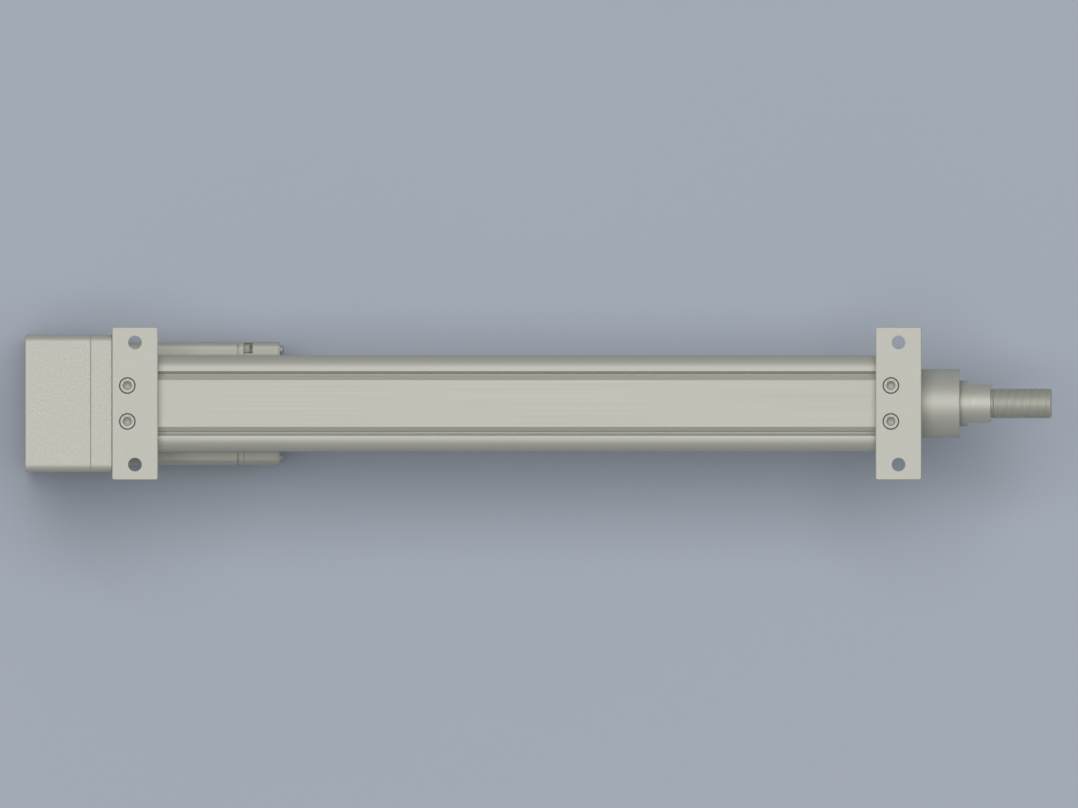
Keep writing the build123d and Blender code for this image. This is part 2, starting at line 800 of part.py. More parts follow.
with BuildPart() as screw_pulley:
    pulley_body(pulley_shaft, pulley_key, screw_key_bottom + pulley_key, 0)
finish(screw_pulley, "screw_pulley")

with BuildPart() as screw_key:
    key_block(pulley_key, pulley_key_length, screw_key_bottom, pulley_key)
finish(screw_key, "screw_key")

motor_key_bottom = shaft_diameter / 2 - key_sink * shaft_key
pulley_flange_diameter = 2 * (belt_outer_radius + pulley_flange_rise)
motor_pulley_back = pulley_back - pulley_flange_thickness

with BuildPart() as motor_pulley:
    pulley_body(shaft_diameter, shaft_key, motor_key_bottom + shaft_key, motor_z)
    for flange_back in (motor_pulley_back, pulley_front):
        flange_front = flange_back + pulley_flange_thickness
        flange_bore = 2 * (motor_key_bottom + shaft_key + key_play)
        turned(flange_back, flange_front, pulley_flange_diameter, flange_bore, motor_z)
finish(motor_pulley, "motor_pulley")

with BuildPart() as motor_key:
    key_block(shaft_key, shaft_key_length, motor_key_bottom, shaft_key, motor_z)
finish(motor_key, "motor_key")

# Belt: one loop with a tooth in every pulley groove at rest
with BuildPart() as timing_belt:
    with BuildSketch(Plane.YZ.offset(belt_front)):
        with Locations((0, motor_z / 2)):
            SlotCenterToCenter(-motor_z, 2 * belt_outer_radius, 90)
            SlotCenterToCenter(-motor_z, 2 * belt_inner_radius, 90, mode=Mode.SUBTRACT)
            with GridLocations(2 * tooth_centre_radius, belt_pitch, 2, span_teeth):
                Circle(belt_tooth_radius)
        with PolarLocations(tooth_centre_radius, pulley_teeth // 2, tooth_angle / 2, 180):
            Circle(belt_tooth_radius)
        with Locations((0, motor_z)):
            with PolarLocations(
                tooth_centre_radius, pulley_teeth // 2, 180 + tooth_angle / 2, 180
            ):
                Circle(belt_tooth_radius)
    extrude(amount=-belt_width)
finish(timing_belt, "timing_belt")


def end_bolt(seat_x, z):
    """A washer and a socket screw that hold a pulley on its shaft end."""
    washer_back = seat_x - washer_thickness
    turned(washer_back, seat_x, washer_diameter, 2 * clearance_hole(pulley_bolt_thread), z)
    return seats([(0, z)], washer_back, -1)


pulley_bolt = cap_screw(pulley_bolt_thread, pulley_bolt_length)

with BuildPart() as screw_pulley_bolt:
    with Locations(*end_bolt(pulley_back, 0)):
        add(pulley_bolt)
finish(screw_pulley_bolt, "screw_pulley_bolt")

with BuildPart() as motor_pulley_bolt:
    with Locations(*end_bolt(motor_pulley_back, motor_z)):
        add(pulley_bolt)
finish(motor_pulley_bolt, "motor_pulley_bolt")

# Belt housing: a plate on the rear cap that also carries the motor, and a deep cover
motor_points = square_points(motor_bolt_offset, motor_z)
cover_heights = (
    housing_top - cover_screw_inset,
    -cover_middle_drop,
    housing_bottom + cover_screw_inset,
)
cover_screw_y = housing_width / 2 - cover_screw_inset
cover_points = [(side * cover_screw_y, height) for side in (-1, 1) for height in cover_heights]
housing_head_depth = housing_thickness - housing_screw_grip
motor_head_depth = housing_thickness - motor_screw_grip
cover_head_depth = cover_depth - cover_screw_grip


def housing_outline(inset=0.0, mode=Mode.ADD):
    """The rounded rectangle of the belt housing, or one inside it, in the sketch at hand."""
    with Locations((0, housing_middle)):
        RectangleRounded(
            housing_width - 2 * inset,
            housing_height - 2 * inset,
            housing_corner - inset * housing_corner / (housing_corner + cover_wall),
            mode=mode,
        )


def motor_slots(width, start, depth):
    """Four slots that let the motor slide down to tension the belt."""
    with BuildSketch(Plane.YZ.offset(start)) as slots:
        with Locations(*motor_points):
            SlotCenterToCenter(motor_slot_travel, width, 90)
    extrude(slots.sketch, amount=depth, mode=Mode.SUBTRACT)


with BuildPart() as drive_housing:
    with BuildSketch(Plane.YZ.offset(housing_back)):
        housing_outline()
    extrude(amount=housing_thickness)
    ease_both_ends(edge_break)
    turned(housing_back, cap_back, bearing_shoulder, mode=Mode.SUBTRACT)
    turned(housing_back, cap_back, motor_shaft_hole, z=motor_z, mode=Mode.SUBTRACT)
    pilot_seat = cap_back - motor_pilot_height
    turned(pilot_seat, cap_back, motor_pilot + 2 * seat_play, z=motor_z, mode=Mode.SUBTRACT)
    motor_slots(2 * clearance_hole(motor_thread), housing_back, housing_thickness)
    motor_slots(head_diameter(motor_thread) + 2 * head_play, housing_back, motor_head_depth)
    counterbored(
        housing_thread, housing_head_depth, seats(housing_screw_points, housing_back, -1)
    )
    tapped(cover_thread, cover_tap_depth, seats(cover_points, housing_back, -1))
finish(drive_housing, "drive_housing")

drive_housing_screws = screw_set(
    cap_screw(housing_thread, housing_screw_length),
    seats(housing_screw_points, housing_back + housing_head_depth, -1),
)
finish(drive_housing_screws, "drive_housing_screws")

motor_mount_screws = screw_set(
    cap_screw(motor_thread, motor_screw_length),
    seats(motor_points, housing_back + motor_head_depth, -1),
)
finish(motor_mount_screws, "motor_mount_screws")

with BuildPart() as drive_cover:
    with BuildSketch(Plane.YZ.offset(cover_back)):
        housing_outline()
    extrude(amount=cover_depth)
    ease_end(edge_break)
    fillet(faces().sort_by(Axis.X)[0].edges(), cover_edge_radius)
    with BuildSketch(Plane.YZ.offset(cover_back + cover_wall)):
        housing_outline(cover_wall)
    extrude(amount=cover_depth - cover_wall, mode=Mode.SUBTRACT)
    with BuildSketch(Plane.YZ.offset(cover_back + cover_wall)):
        with Locations(*cover_points):
            Circle(cover_boss / 2)
    extrude(amount=cover_depth - cover_wall)
    counterbored(cover_thread, cover_head_depth, seats(cover_points, cover_back, -1))
    with BuildSketch(Plane.YZ.offset(housing_back)):
        housing_outline((cover_wall - gasket_width) / 2)
        housing_outline((cover_wall + gasket_width) / 2, Mode.SUBTRACT)
    extrude(amount=-gasket_depth, mode=Mode.SUBTRACT)
finish(drive_cover, "drive_cover")

with BuildPart() as cover_gasket:
    with BuildSketch(Plane.YZ.offset(housing_back)):
        housing_outline((cover_wall - gasket_width) / 2)
        housing_outline((cover_wall + gasket_width) / 2, Mode.SUBTRACT)
    extrude(amount=-gasket_depth)
finish(cover_gasket, "cover_gasket")

cover_screws = screw_set(
    cap_screw(cover_thread, cover_screw_grip + cover_screw_reach),
    seats(cover_points, cover_back + cover_head_depth, -1),
)
finish(cover_screws, "cover_screws")

# Motor section: flat lands beside round corners, and a slightly raised panel on each side
panel_run = sqrt(motor_panel_radius**2 - (motor_panel_radius - motor_panel_height) ** 2)
panel_flat = motor_panel_edge - panel_run

with BuildSketch() as motor_panel:
    with BuildLine():
        base = Polyline(
            (-motor_panel_edge, motor_land),
            (-motor_panel_edge, 0),
            (motor_panel_edge, 0),
            (motor_panel_edge, motor_land),
        )
        left = TangentArc(base @ 0, (-panel_flat, motor_face), tangent=(1, 0))
        right = TangentArc(base @ 1, (panel_flat, motor_face), tangent=(-1, 0))
        Line(left @ 1, right @ 1)
    make_face()


def motor_block(start, end, inset=0.0):
    """A length of the motor's outline, or of one with all sides set in."""
    with BuildSketch(Plane.YZ.offset(start)) as section:
        with Locations((0, motor_z)):
            side = 2 * (motor_land - inset)
            RectangleRounded(side, side, motor_corner)
            if not inset:
                with PolarLocations(0, 4):
                    add(motor_panel.sketch_local)
    extrude(section.sketch, amount=end - start)


motor_front = cap_back
pilot_front = cap_back - motor_pilot_height
flange_bearing_back = motor_body_front - front_bearing_width
corner_points = square_points(corner_screw_offset, motor_z)

with BuildPart() as motor_flange:
    motor_block(motor_front, motor_body_front)
    ease_both_ends(fine_edge_break)
    turned(pilot_front, motor_front, motor_pilot, z=motor_z)
    turned(pilot_front, motor_body_front, rotor_bore, z=motor_z, mode=Mode.SUBTRACT)
    seal_end = pilot_front + shaft_seal_width
    turned(pilot_front, seal_end, shaft_seal_diameter, z=motor_z, mode=Mode.SUBTRACT)
    turned(
        flange_bearing_back,
        motor_body_front,
        front_bearing_diameter,
        z=motor_z,
        mode=Mode.SUBTRACT,
    )
    tapped(motor_thread, motor_tap_depth, seats(motor_points, motor_front, -1))
    tapped(corner_thread, corner_tap_depth, seats(corner_points, motor_body_front, 1))
finish(motor_flange, "motor_flange")

with BuildPart() as motor_shaft_seal:
    seal_bore = front_journal + 2 * slide_play
    turned(pilot_front, seal_end, shaft_seal_diameter, seal_bore, motor_z)
finish(motor_shaft_seal, "motor_shaft_seal")

with BuildPart() as motor_housing:
    motor_block(motor_body_front, motor_body_back)
    ease_both_ends(fine_edge_break)
    turned(motor_body_front, motor_body_back, stator_diameter, z=motor_z, mode=Mode.SUBTRACT)
    drilled(
        clearance_hole(corner_thread), motor_body_length, seats(corner_points, motor_body_back, 1)
    )
finish(motor_housing, "motor_housing")

# Rear bell: holds the rear bearing in a hub and three posts for the encoder board
bell_neck_back = motor_body_back + bell_neck
case_screw_points = [
    (-case_screw_offset, motor_z + case_screw_offset),
    (case_screw_offset, motor_z - case_screw_offset),
]

with BuildPart() as motor_rear_bell:
    motor_block(bell_neck_back, bell_back)
    ease_both_ends(fine_edge_break)
    motor_block(motor_body_back, bell_neck_back, bell_neck_inset)
    spigot_front = motor_body_back - bell_spigot
    spigot_diameter = stator_diameter - 2 * seat_play
    spigot_bore = stator_diameter - 2 * bell_spigot_wall
    turned(spigot_front, motor_body_back, spigot_diameter, spigot_bore, motor_z)
    turned(rear_bearing_front, motor_body_back, bell_hub_diameter, z=motor_z)
    turned(
        rear_bearing_front,
        rear_bearing_back,
        rear_bearing_diameter,
        z=motor_z,
        mode=Mode.SUBTRACT,
    )
    turned(rear_bearing_back, bell_back, rear_journal, z=motor_z, mode=Mode.SUBTRACT)
    with BuildSketch(Plane.YZ.offset(bell_back)):
        with Locations((0, motor_z)):
            with PolarLocations(encoder_post_circle / 2, encoder_posts, 90):
                Circle(encoder_post / 2)
    extrude(amount=encoder_post_height)
    drilled(clearance_hole(corner_thread), bell_length, seats(corner_points, bell_back, 1))
    tapped(case_thread, case_tap_depth, seats(case_screw_points, bell_back, 1))
finish(motor_rear_bell, "motor_rear_bell")

motor_tie_screws = screw_set(
    cap_screw(corner_thread, bell_length + motor_body_length + corner_screw_reach),
    seats(corner_points, bell_back, 1),
)
finish(motor_tie_screws, "motor_tie_screws")

# Encoder case: two opposite corners are cut away over the tie screws, two have blind pockets
open_corners = [corner_points[0], corner_points[3]]
blind_corners = [corner_points[1], corner_points[2]]
corner_reach = motor_face - corner_screw_offset
head_pocket_radius = head_diameter(corner_thread) / 2 + head_play

with BuildPart() as encoder_case:
    motor_block(bell_back, case_back)
    ease_both_ends(fine_edge_break)
    turned(bell_back, case_back, encoder_cavity, z=motor_z, mode=Mode.SUBTRACT)
    with BuildSketch(Plane.YZ.offset(bell_back)):
        with Locations(*open_corners):
            Circle(corner_pocket_radius)
        for y, z in open_corners:
            side = 1 if y > 0 else -1
            with Locations((y + side * corner_reach / 2, z + side * corner_reach / 2)):
                Rectangle(corner_reach, corner_reach)
    extrude(amount=corner_pocket_length, mode=Mode.SUBTRACT)
    with BuildSketch(Plane.YZ.offset(bell_back)):
        with Locations(*blind_corners):
            Circle(head_pocket_radius)
    extrude(amount=corner_pocket_length, mode=Mode.SUBTRACT)
    case_head_depth = encoder_case_length - case_screw_grip
    counterbored(case_thread, case_head_depth, seats(case_screw_points, case_back, 1))
    tapped(lid_thread, lid_tap_depth, seats(corner_points, case_back, 1))
finish(encoder_case, "encoder_case")

encoder_case_screws = screw_set(
    cap_screw(case_thread, case_screw_length),
    seats(case_screw_points, case_back - case_head_depth, 1),
)
finish(encoder_case_screws, "encoder_case_screws")

with BuildPart() as encoder_lid:
    motor_block(case_back, lid_back)
    ease_end(fine_edge_break)
    drilled(
        clearance_hole(lid_thread), encoder_lid_thickness, seats(corner_points, lid_back, 1)
    )
finish(encoder_lid, "encoder_lid")

with BuildPart() as lid_screw:
    with BuildSketch():
        Circle(lid_screw_head / 2)
    extrude(amount=lid_screw_height)
    fillet(faces().sort_by(Axis.Z)[-1].edges(), lid_screw_round)
    with BuildSketch():
        Circle(lid_thread / 2)
    extrude(amount=-lid_screw_length)

encoder_lid_screws = screw_set(lid_screw.part, seats(corner_points, lid_back, 1))
finish(encoder_lid_screws, "encoder_lid_screws")

# Motor inside: slotted stator with its end windings, rotor on its shaft, bearings, encoder
stator_back = motor_body_front + coil_overhang + stator_inset
stator_front = stator_back + stator_length
slot_end = stator_diameter / 2 - stator_yoke
coil_diameter = 2 * slot_end
coil_bore = stator_bore + 2 * coil_setback

with BuildPart() as stator_core:
    with BuildSketch(Plane.YZ.offset(stator_back)):
        with Locations((0, motor_z)):
            Circle(stator_diameter / 2)
            Circle(stator_bore / 2, mode=Mode.SUBTRACT)
            slot_start = stator_bore / 2 + stator_tooth_tip
            slot_height = slot_end - slot_start
            with PolarLocations(slot_start + slot_height / 2, stator_slots):
                Rectangle(slot_height, stator_slot_width, mode=Mode.SUBTRACT)
            with PolarLocations(stator_bore / 2, stator_slots):
                Rectangle(2 * stator_tooth_tip, stator_slot_mouth, mode=Mode.SUBTRACT)
    extrude(amount=stator_length)
finish(stator_core, "stator_core")

with BuildPart() as stator_windings:
    turned(stator_back - coil_overhang, stator_back, coil_diameter, coil_bore, motor_z)
    turned(stator_front, stator_front + coil_overhang, coil_diameter, coil_bore, motor_z)
finish(stator_windings, "stator_windings")

rotor_back = stator_back - rotor_overhang
rotor_front = stator_front + rotor_overhang
encoder_disc_back = bell_back + encoder_disc_inset
encoder_disc_front = encoder_disc_back + encoder_disc_thickness

with BuildPart() as rotor_core:
    turned(rotor_back, rotor_front, stator_bore - 2 * air_gap, rotor_bore, motor_z)
finish(rotor_core, "rotor_core")

with BuildPart() as motor_shaft:
    shaft_end = cap_back - shaft_reach
    turned(shaft_end, pilot_front, shaft_diameter, z=motor_z)
    turned(pilot_front, motor_body_front, front_journal, z=motor_z)
    turned(motor_body_front, rear_bearing_front, rotor_bore, z=motor_z)
    turned(rear_bearing_front, rear_bearing_back, rear_journal, z=motor_z)
    turned(rear_bearing_back, encoder_disc_front, encoder_journal, z=motor_z)
    key_block(
        shaft_key, shaft_key_length, motor_key_bottom, shaft_key, motor_z, mode=Mode.SUBTRACT
    )
    tapped(pulley_bolt_thread, shaft_tap_depth, seats([(0, motor_z)], shaft_end, -1))
finish(motor_shaft, "motor_shaft")

with BuildPart() as encoder_disc:
    turned(
        encoder_disc_back, encoder_disc_front, encoder_disc_diameter, encoder_journal, motor_z
    )
finish(encoder_disc, "encoder_disc")

with BuildPart() as encoder_board:
    board_back = bell_back + encoder_post_height
    board_front = board_back + encoder_board_thickness
    turned(board_back, board_front, encoder_board_diameter, rear_journal, motor_z)
finish(encoder_board, "encoder_board")

with BuildPart() as motor_bearing_outer_rings:
    outer_ring(
        flange_bearing_back,
        front_journal,
        front_bearing_diameter,
        front_bearing_width,
        motor_z,
    )
    outer_ring(
        rear_bearing_front, rear_journal, rear_bearing_diameter, rear_bearing_width, motor_z
    )
finish(motor_bearing_outer_rings, "motor_bearing_outer_rings")

with BuildPart() as motor_bearing_inner_rings:
    inner_ring(flange_bearing_back, front_journal, front_bearing_width, motor_z)
    inner_ring(rear_bearing_front, rear_journal, rear_bearing_width, motor_z)
finish(motor_bearing_inner_rings, "motor_bearing_inner_rings")


# Connectors under the motor, one for power and one for the encoder
def connector(x, name):
    """A flanged round socket that points down from the motor's lower face."""
    seat = Plane((x, 0, motor_z - motor_face), z_dir=(0, 0, -1))
    base_face = seat.offset(connector_base_height)
    mouth = base_face.offset(connector_barrel_length)
    with BuildPart() as socket:
        with BuildSketch(seat):
            RectangleRounded(connector_base, connector_base, connector_base_corner)
        extrude(amount=connector_base_height)
        with BuildSketch(base_face):
            Circle(connector_barrel / 2)
        extrude(amount=connector_barrel_length)
        chamfer(faces().sort_by(Axis.Z)[0].edges(), edge_break)
        with BuildSketch(mouth):
            Circle(connector_barrel / 2 - connector_wall)
        extrude(amount=-connector_insert_drop, mode=Mode.SUBTRACT)
        with BuildSketch(mouth.offset(-connector_insert_drop)):
            Circle(connector_barrel / 2 - connector_wall)
            Circle(connector_insert / 2, mode=Mode.SUBTRACT)
        extrude(amount=connector_insert_drop - connector_socket_depth, mode=Mode.SUBTRACT)
    finish(socket, name)


connector(motor_body_back - power_connector_inset, "power_connector")
connector((bell_back + case_back) / 2, "encoder_connector")
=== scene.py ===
"""Looks of an electric cylinder with a parallel motor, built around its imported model.

Metres, in the model's frame: X runs along the rod and Z up through the foot plates.
"""

import json
from math import atan2, cos, floor, pi, radians, sin, tan

import bmesh
import bpy
from mathutils import Matrix, Vector


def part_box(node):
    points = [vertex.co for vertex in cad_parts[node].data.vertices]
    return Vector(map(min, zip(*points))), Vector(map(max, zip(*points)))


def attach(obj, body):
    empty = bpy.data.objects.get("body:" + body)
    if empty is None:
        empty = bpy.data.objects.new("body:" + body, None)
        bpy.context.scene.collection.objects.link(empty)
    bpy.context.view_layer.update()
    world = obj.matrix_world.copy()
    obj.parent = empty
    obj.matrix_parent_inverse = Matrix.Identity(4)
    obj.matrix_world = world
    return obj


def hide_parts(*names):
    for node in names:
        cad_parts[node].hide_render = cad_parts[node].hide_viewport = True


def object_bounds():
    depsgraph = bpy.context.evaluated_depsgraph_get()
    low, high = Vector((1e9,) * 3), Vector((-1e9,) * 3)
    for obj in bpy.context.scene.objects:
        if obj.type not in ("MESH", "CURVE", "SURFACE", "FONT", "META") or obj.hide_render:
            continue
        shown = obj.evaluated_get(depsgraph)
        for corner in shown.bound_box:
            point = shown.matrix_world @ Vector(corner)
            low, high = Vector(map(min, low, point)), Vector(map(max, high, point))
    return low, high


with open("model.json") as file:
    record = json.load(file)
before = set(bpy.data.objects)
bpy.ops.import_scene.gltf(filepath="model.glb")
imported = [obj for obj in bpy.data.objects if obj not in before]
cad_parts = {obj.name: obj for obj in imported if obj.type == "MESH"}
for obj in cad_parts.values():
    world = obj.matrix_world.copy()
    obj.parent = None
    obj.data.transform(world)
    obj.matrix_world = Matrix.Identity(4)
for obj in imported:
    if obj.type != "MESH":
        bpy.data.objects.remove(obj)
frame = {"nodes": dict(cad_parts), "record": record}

model_low, model_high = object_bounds()
MM = 0.001

# The photograph: a view straight down on the foot plates, without perspective
PHOTO_WIDTH = 1078
PHOTO_HEIGHT = 808
REAR_END_PX = 25.0
ROD_TIP_PX = 1052.0
AXIS_PX = 403.5
CAMERA_HEIGHT = 1.0
CAMERA_REACH = 10.0


def in_scene(name, data):
    """A new object of the scene."""
    made = bpy.data.objects.new(name, data)
    bpy.context.scene.collection.objects.link(made)
    return made


def camera():
    """A camera without perspective that frames the object as the photograph does."""
    metres_per_pixel = (model_high.x - model_low.x) / (ROD_TIP_PX - REAR_END_PX)
    data = bpy.data.cameras.new("camera")
    data.type = "ORTHO"
    data.ortho_scale = PHOTO_WIDTH * metres_per_pixel
    data.clip_end = CAMERA_REACH
    made = in_scene("camera", data)
    x = model_low.x + (PHOTO_WIDTH / 2 - REAR_END_PX) * metres_per_pixel
    y = (AXIS_PX - PHOTO_HEIGHT / 2) * metres_per_pixel
    made.location = (x, y, CAMERA_HEIGHT)
    bpy.context.scene.camera = made


camera()


# Shader nodes
NOISE_LOW = 0.3
NOISE_HIGH = 0.7


def node(tree, kind, **settings):
    """A shader node with its settings."""
    made = tree.nodes.new(kind)
    for name, value in settings.items():
        setattr(made, name, value)
    return made


def noise(tree, frequency, detail=2.0):
    """Noise in the model's frame, with a frequency per metre along each axis."""
    coordinates = node(tree, "ShaderNodeTexCoord")
    stretch = node(tree, "ShaderNodeMapping")
    stretch.inputs["Scale"].default_value = frequency
    made = node(tree, "ShaderNodeTexNoise")
    made.inputs["Scale"].default_value = 1.0
    made.inputs["Detail"].default_value = detail
    tree.links.new(coordinates.outputs["Object"], stretch.inputs["Vector"])
    tree.links.new(stretch.outputs["Vector"], made.inputs["Vector"])
    return made.outputs["Fac"]


def spread(tree, value, low, high):
    """The middle of a noise spread from low to high."""
    made = node(tree, "ShaderNodeMapRange")
    made.inputs["From Min"].default_value = NOISE_LOW
    made.inputs["From Max"].default_value = NOISE_HIGH
    made.inputs["To Min"].default_value = low
    made.inputs["To Max"].default_value = high
    tree.links.new(value, made.inputs["Value"])
    return made.outputs["Result"]


def shade(colour, amount):
    """An opaque colour made lighter or darker."""
    return (*(part * amount for part in colour), 1.0)


def toned(tree, factor, colour, share):
    """A colour that goes from darker to lighter by a share of itself."""
    made = node(tree, "ShaderNodeMix", data_type="RGBA")
    made.inputs["A"].default_value = shade(colour, 1 - share)
    made.inputs["B"].default_value = shade(colour, 1 + share)
    tree.links.new(factor, made.inputs["Factor"])
    return made.outputs["Result"]


# Finishes
GRAIN_SHARE = 0.5
BUMP_STRENGTH = 0.5
PATCH_DETAIL = 3.0

# Grains and patches per metre along X, Y and Z
ALONG_X = (6.0, 1400.0, 1400.0)
AROUND_X = (2600.0, 30.0, 30.0)
EVEN_FINE = (2200.0, 2200.0, 2200.0)
EVEN_COARSE = (700.0, 700.0, 700.0)
LAMINATIONS = (2000.0, 6.0, 6.0)
WINDINGS = (60.0, 1500.0, 1500.0)
PATCHES = (18.0, 22.0, 22.0)

GREY = (0.515, 0.515, 0.456)
SCREW_GREY = (0.45, 0.45, 0.4)
GROUND_GREY = (0.5, 0.5, 0.5)
BEARING_GREY = (0.6, 0.6, 0.6)
BRONZE = (0.5, 0.33, 0.16)
SEAL_BLACK = (0.03, 0.03, 0.03)
BELT_BLACK = (0.02, 0.02, 0.02)
URETHANE_AMBER = (0.45, 0.3, 0.08)
POLYMER_CREAM = (0.6, 0.58, 0.5)
MAGNET_BLACK = (0.08, 0.08, 0.09)
LAMINATION_GREY = (0.3, 0.3, 0.32)
COPPER = (0.6, 0.25, 0.1)
BOARD_GREEN = (0.02, 0.15, 0.06)

# Colour, metallic, roughness, grain and its height, then the contrast of the grain and of the
# patches, and how far the grain changes the roughness
FINISHES = {
    "tube_aluminium": (GREY, 0.35, 0.58, ALONG_X, 0.005 * MM, 0.015, 0.01, 0.03),
    "cap_aluminium": (GREY, 0.35, 0.58, EVEN_FINE, 0.01 * MM, 0.02, 0.01),
    "belt_housing": (GREY, 0.35, 0.58, EVEN_COARSE, 0.01 * MM, 0.01, 0.01, 0.04),
    "motor_shell": (GREY, 0.35, 0.59, EVEN_COARSE, 0.01 * MM, 0.01, 0.01, 0.04),
    "encoder_shell": (GREY, 0.35, 0.6, EVEN_FINE, 0.01 * MM, 0.02, 0.01),
    "steel_screws": (SCREW_GREY, 0.5, 0.55, EVEN_FINE, 0.01 * MM),
    "rod_steel": (GREY, 0.4, 0.56, AROUND_X, 0.004 * MM, 0.03, 0.015),
    "rod_end_steel": (GREY, 0.4, 0.57, AROUND_X, 0.006 * MM, 0.03, 0.015),
    "ground_steel": (GROUND_GREY, 0.9, 0.3, AROUND_X, 0.01 * MM),
    "bearing_steel": (BEARING_GREY, 0.95, 0.2, AROUND_X, 0.005 * MM),
    "bronze": (BRONZE, 0.9, 0.38, AROUND_X, 0.01 * MM),
    "seal_rubber": (SEAL_BLACK, 0.0, 0.55, EVEN_COARSE, 0.03 * MM),
    "belt_rubber": (BELT_BLACK, 0.0, 0.7, EVEN_COARSE, 0.05 * MM),
    "bumper_urethane": (URETHANE_AMBER, 0.0, 0.4, EVEN_COARSE, 0.03 * MM),
    "guide_polymer": (POLYMER_CREAM, 0.0, 0.5, EVEN_COARSE, 0.03 * MM),
    "magnet": (MAGNET_BLACK, 0.2, 0.6, EVEN_COARSE, 0.03 * MM),
    "lamination_steel": (LAMINATION_GREY, 0.8, 0.45, LAMINATIONS, 0.05 * MM),
    "copper": (COPPER, 0.8, 0.35, WINDINGS, 0.1 * MM),
    "circuit_board": (BOARD_GREEN, 0.0, 0.3, EVEN_COARSE, 0.02 * MM),
    "connector_metal": (GREY, 0.5, 0.42, EVEN_FINE, 0.01 * MM),
}


def surface(name, colour, metallic, roughness, grain, height,
            contrast=0.04, patches=0.04, gloss=0.06):
    """A finish with its own grain and broad patches."""
    made = bpy.data.materials.new(name)
    made.use_nodes = True
    tree = made.node_tree
    shader = tree.nodes["Principled BSDF"]
    shader.inputs["Metallic"].default_value = metallic
    fine = noise(tree, grain)
    broad = noise(tree, PATCHES, PATCH_DETAIL)
    tone = toned(tree, spread(tree, broad, 0, 1), colour, patches)
    marks = toned(tree, spread(tree, fine, 0, 1), colour, contrast)
    mixed = node(tree, "ShaderNodeMix", data_type="RGBA")
    mixed.inputs["Factor"].default_value = GRAIN_SHARE
    tree.links.new(tone, mixed.inputs["A"])
    tree.links.new(marks, mixed.inputs["B"])
    tree.links.new(mixed.outputs["Result"], shader.inputs["Base Color"])
    dullness = spread(tree, fine, roughness - gloss, roughness + gloss)
    tree.links.new(dullness, shader.inputs["Roughness"])
    bump = node(tree, "ShaderNodeBump")
    bump.inputs["Strength"].default_value = BUMP_STRENGTH
    bump.inputs["Distance"].default_value = height
    tree.links.new(fine, bump.inputs["Height"])
    tree.links.new(bump.outputs["Normal"], shader.inputs["Normal"])
    return made


finishes = {name: surface(name, *values) for name, values in FINISHES.items()}

slots = {part["node"]: part["material_slot"] for part in frame["record"]["subparts"]}
for name, part in frame["nodes"].items():
    part.data.materials.clear()
    part.data.materials.append(finishes[slots[name]])


# Meshes, each built about the Z axis
SEAM = 0.0001 * MM
SHARP_ANGLE = radians(30)
SMALL_SHARP_ANGLE = radians(35)
EDGE_BREAK = 0.4 * MM


def around(angles, radius, z):
    """Points round the Z axis at one height."""
    return [(radius * cos(angle), radius * sin(angle), z) for angle in angles]


def skin(shape, rings):
    """Faces between rings of equally many points. Gives the first and the last ring."""
    loops = [[shape.verts.new(point) for point in ring] for ring in rings]
    for before, after in zip(loops, loops[1:]):
        for i in range(len(before)):
            j = (i + 1) % len(before)
            shape.faces.new((before[i], before[j], after[j], after[i]))
    return loops[0], loops[-1]


def smoothed(mesh, sharp):
    """The mesh with smooth shading, apart from edges that are sharper than an angle."""
    mesh.shade_smooth()
    mesh.set_sharp_from_angle(angle=sharp)
    return mesh


def finished(shape, name, sharp):
    """The shape's mesh with its seams joined."""
    bmesh.ops.remove_doubles(shape, verts=shape.verts, dist=SEAM)
    loose = [vert for vert in shape.verts if not vert.link_faces]
    bmesh.ops.delete(shape, geom=loose)
    bmesh.ops.recalc_face_normals(shape, faces=shape.faces)
    mesh = bpy.data.meshes.new(name)
    shape.to_mesh(mesh)
    shape.free()
    return smoothed(mesh, sharp)


def ring_solid(name, rings):
    """A closed mesh skinned over rings of equally many points, flat at both ends."""
    shape = bmesh.new()
    first, last = skin(shape, rings)
    shape.faces.new(reversed(first))
    shape.faces.new(last)
    return finished(shape, name, SHARP_ANGLE)


def copies(single, name, places):
    """One mesh of a copy of a small mesh at each place, which are matrices."""
    group = bmesh.new()
    for matrix in places:
        copy = single.copy()
        copy.transform(matrix)
        group.from_mesh(copy)
        bpy.data.meshes.remove(copy)
    mesh = bpy.data.meshes.new(name)
    group.to_mesh(mesh)
    group.free()
    bpy.data.meshes.remove(single)
    return smoothed(mesh, SMALL_SHARP_ANGLE)


def piece(mesh, name, body, slot, replaced=()):
    """The mesh as a piece that rides on a body and has its slot's finish."""
    made = in_scene(name, mesh)
    mesh.materials.clear()
    mesh.materials.append(finishes[slot])
    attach(made, body)
    if replaced:
        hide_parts(*replaced)


# Thread profile, as shares of its pitch, and turns beyond each end that are pressed flat on it
CREST_SHARE = 0.25
ROOT_SHARE = 0.25
SPARE_TURNS = 2


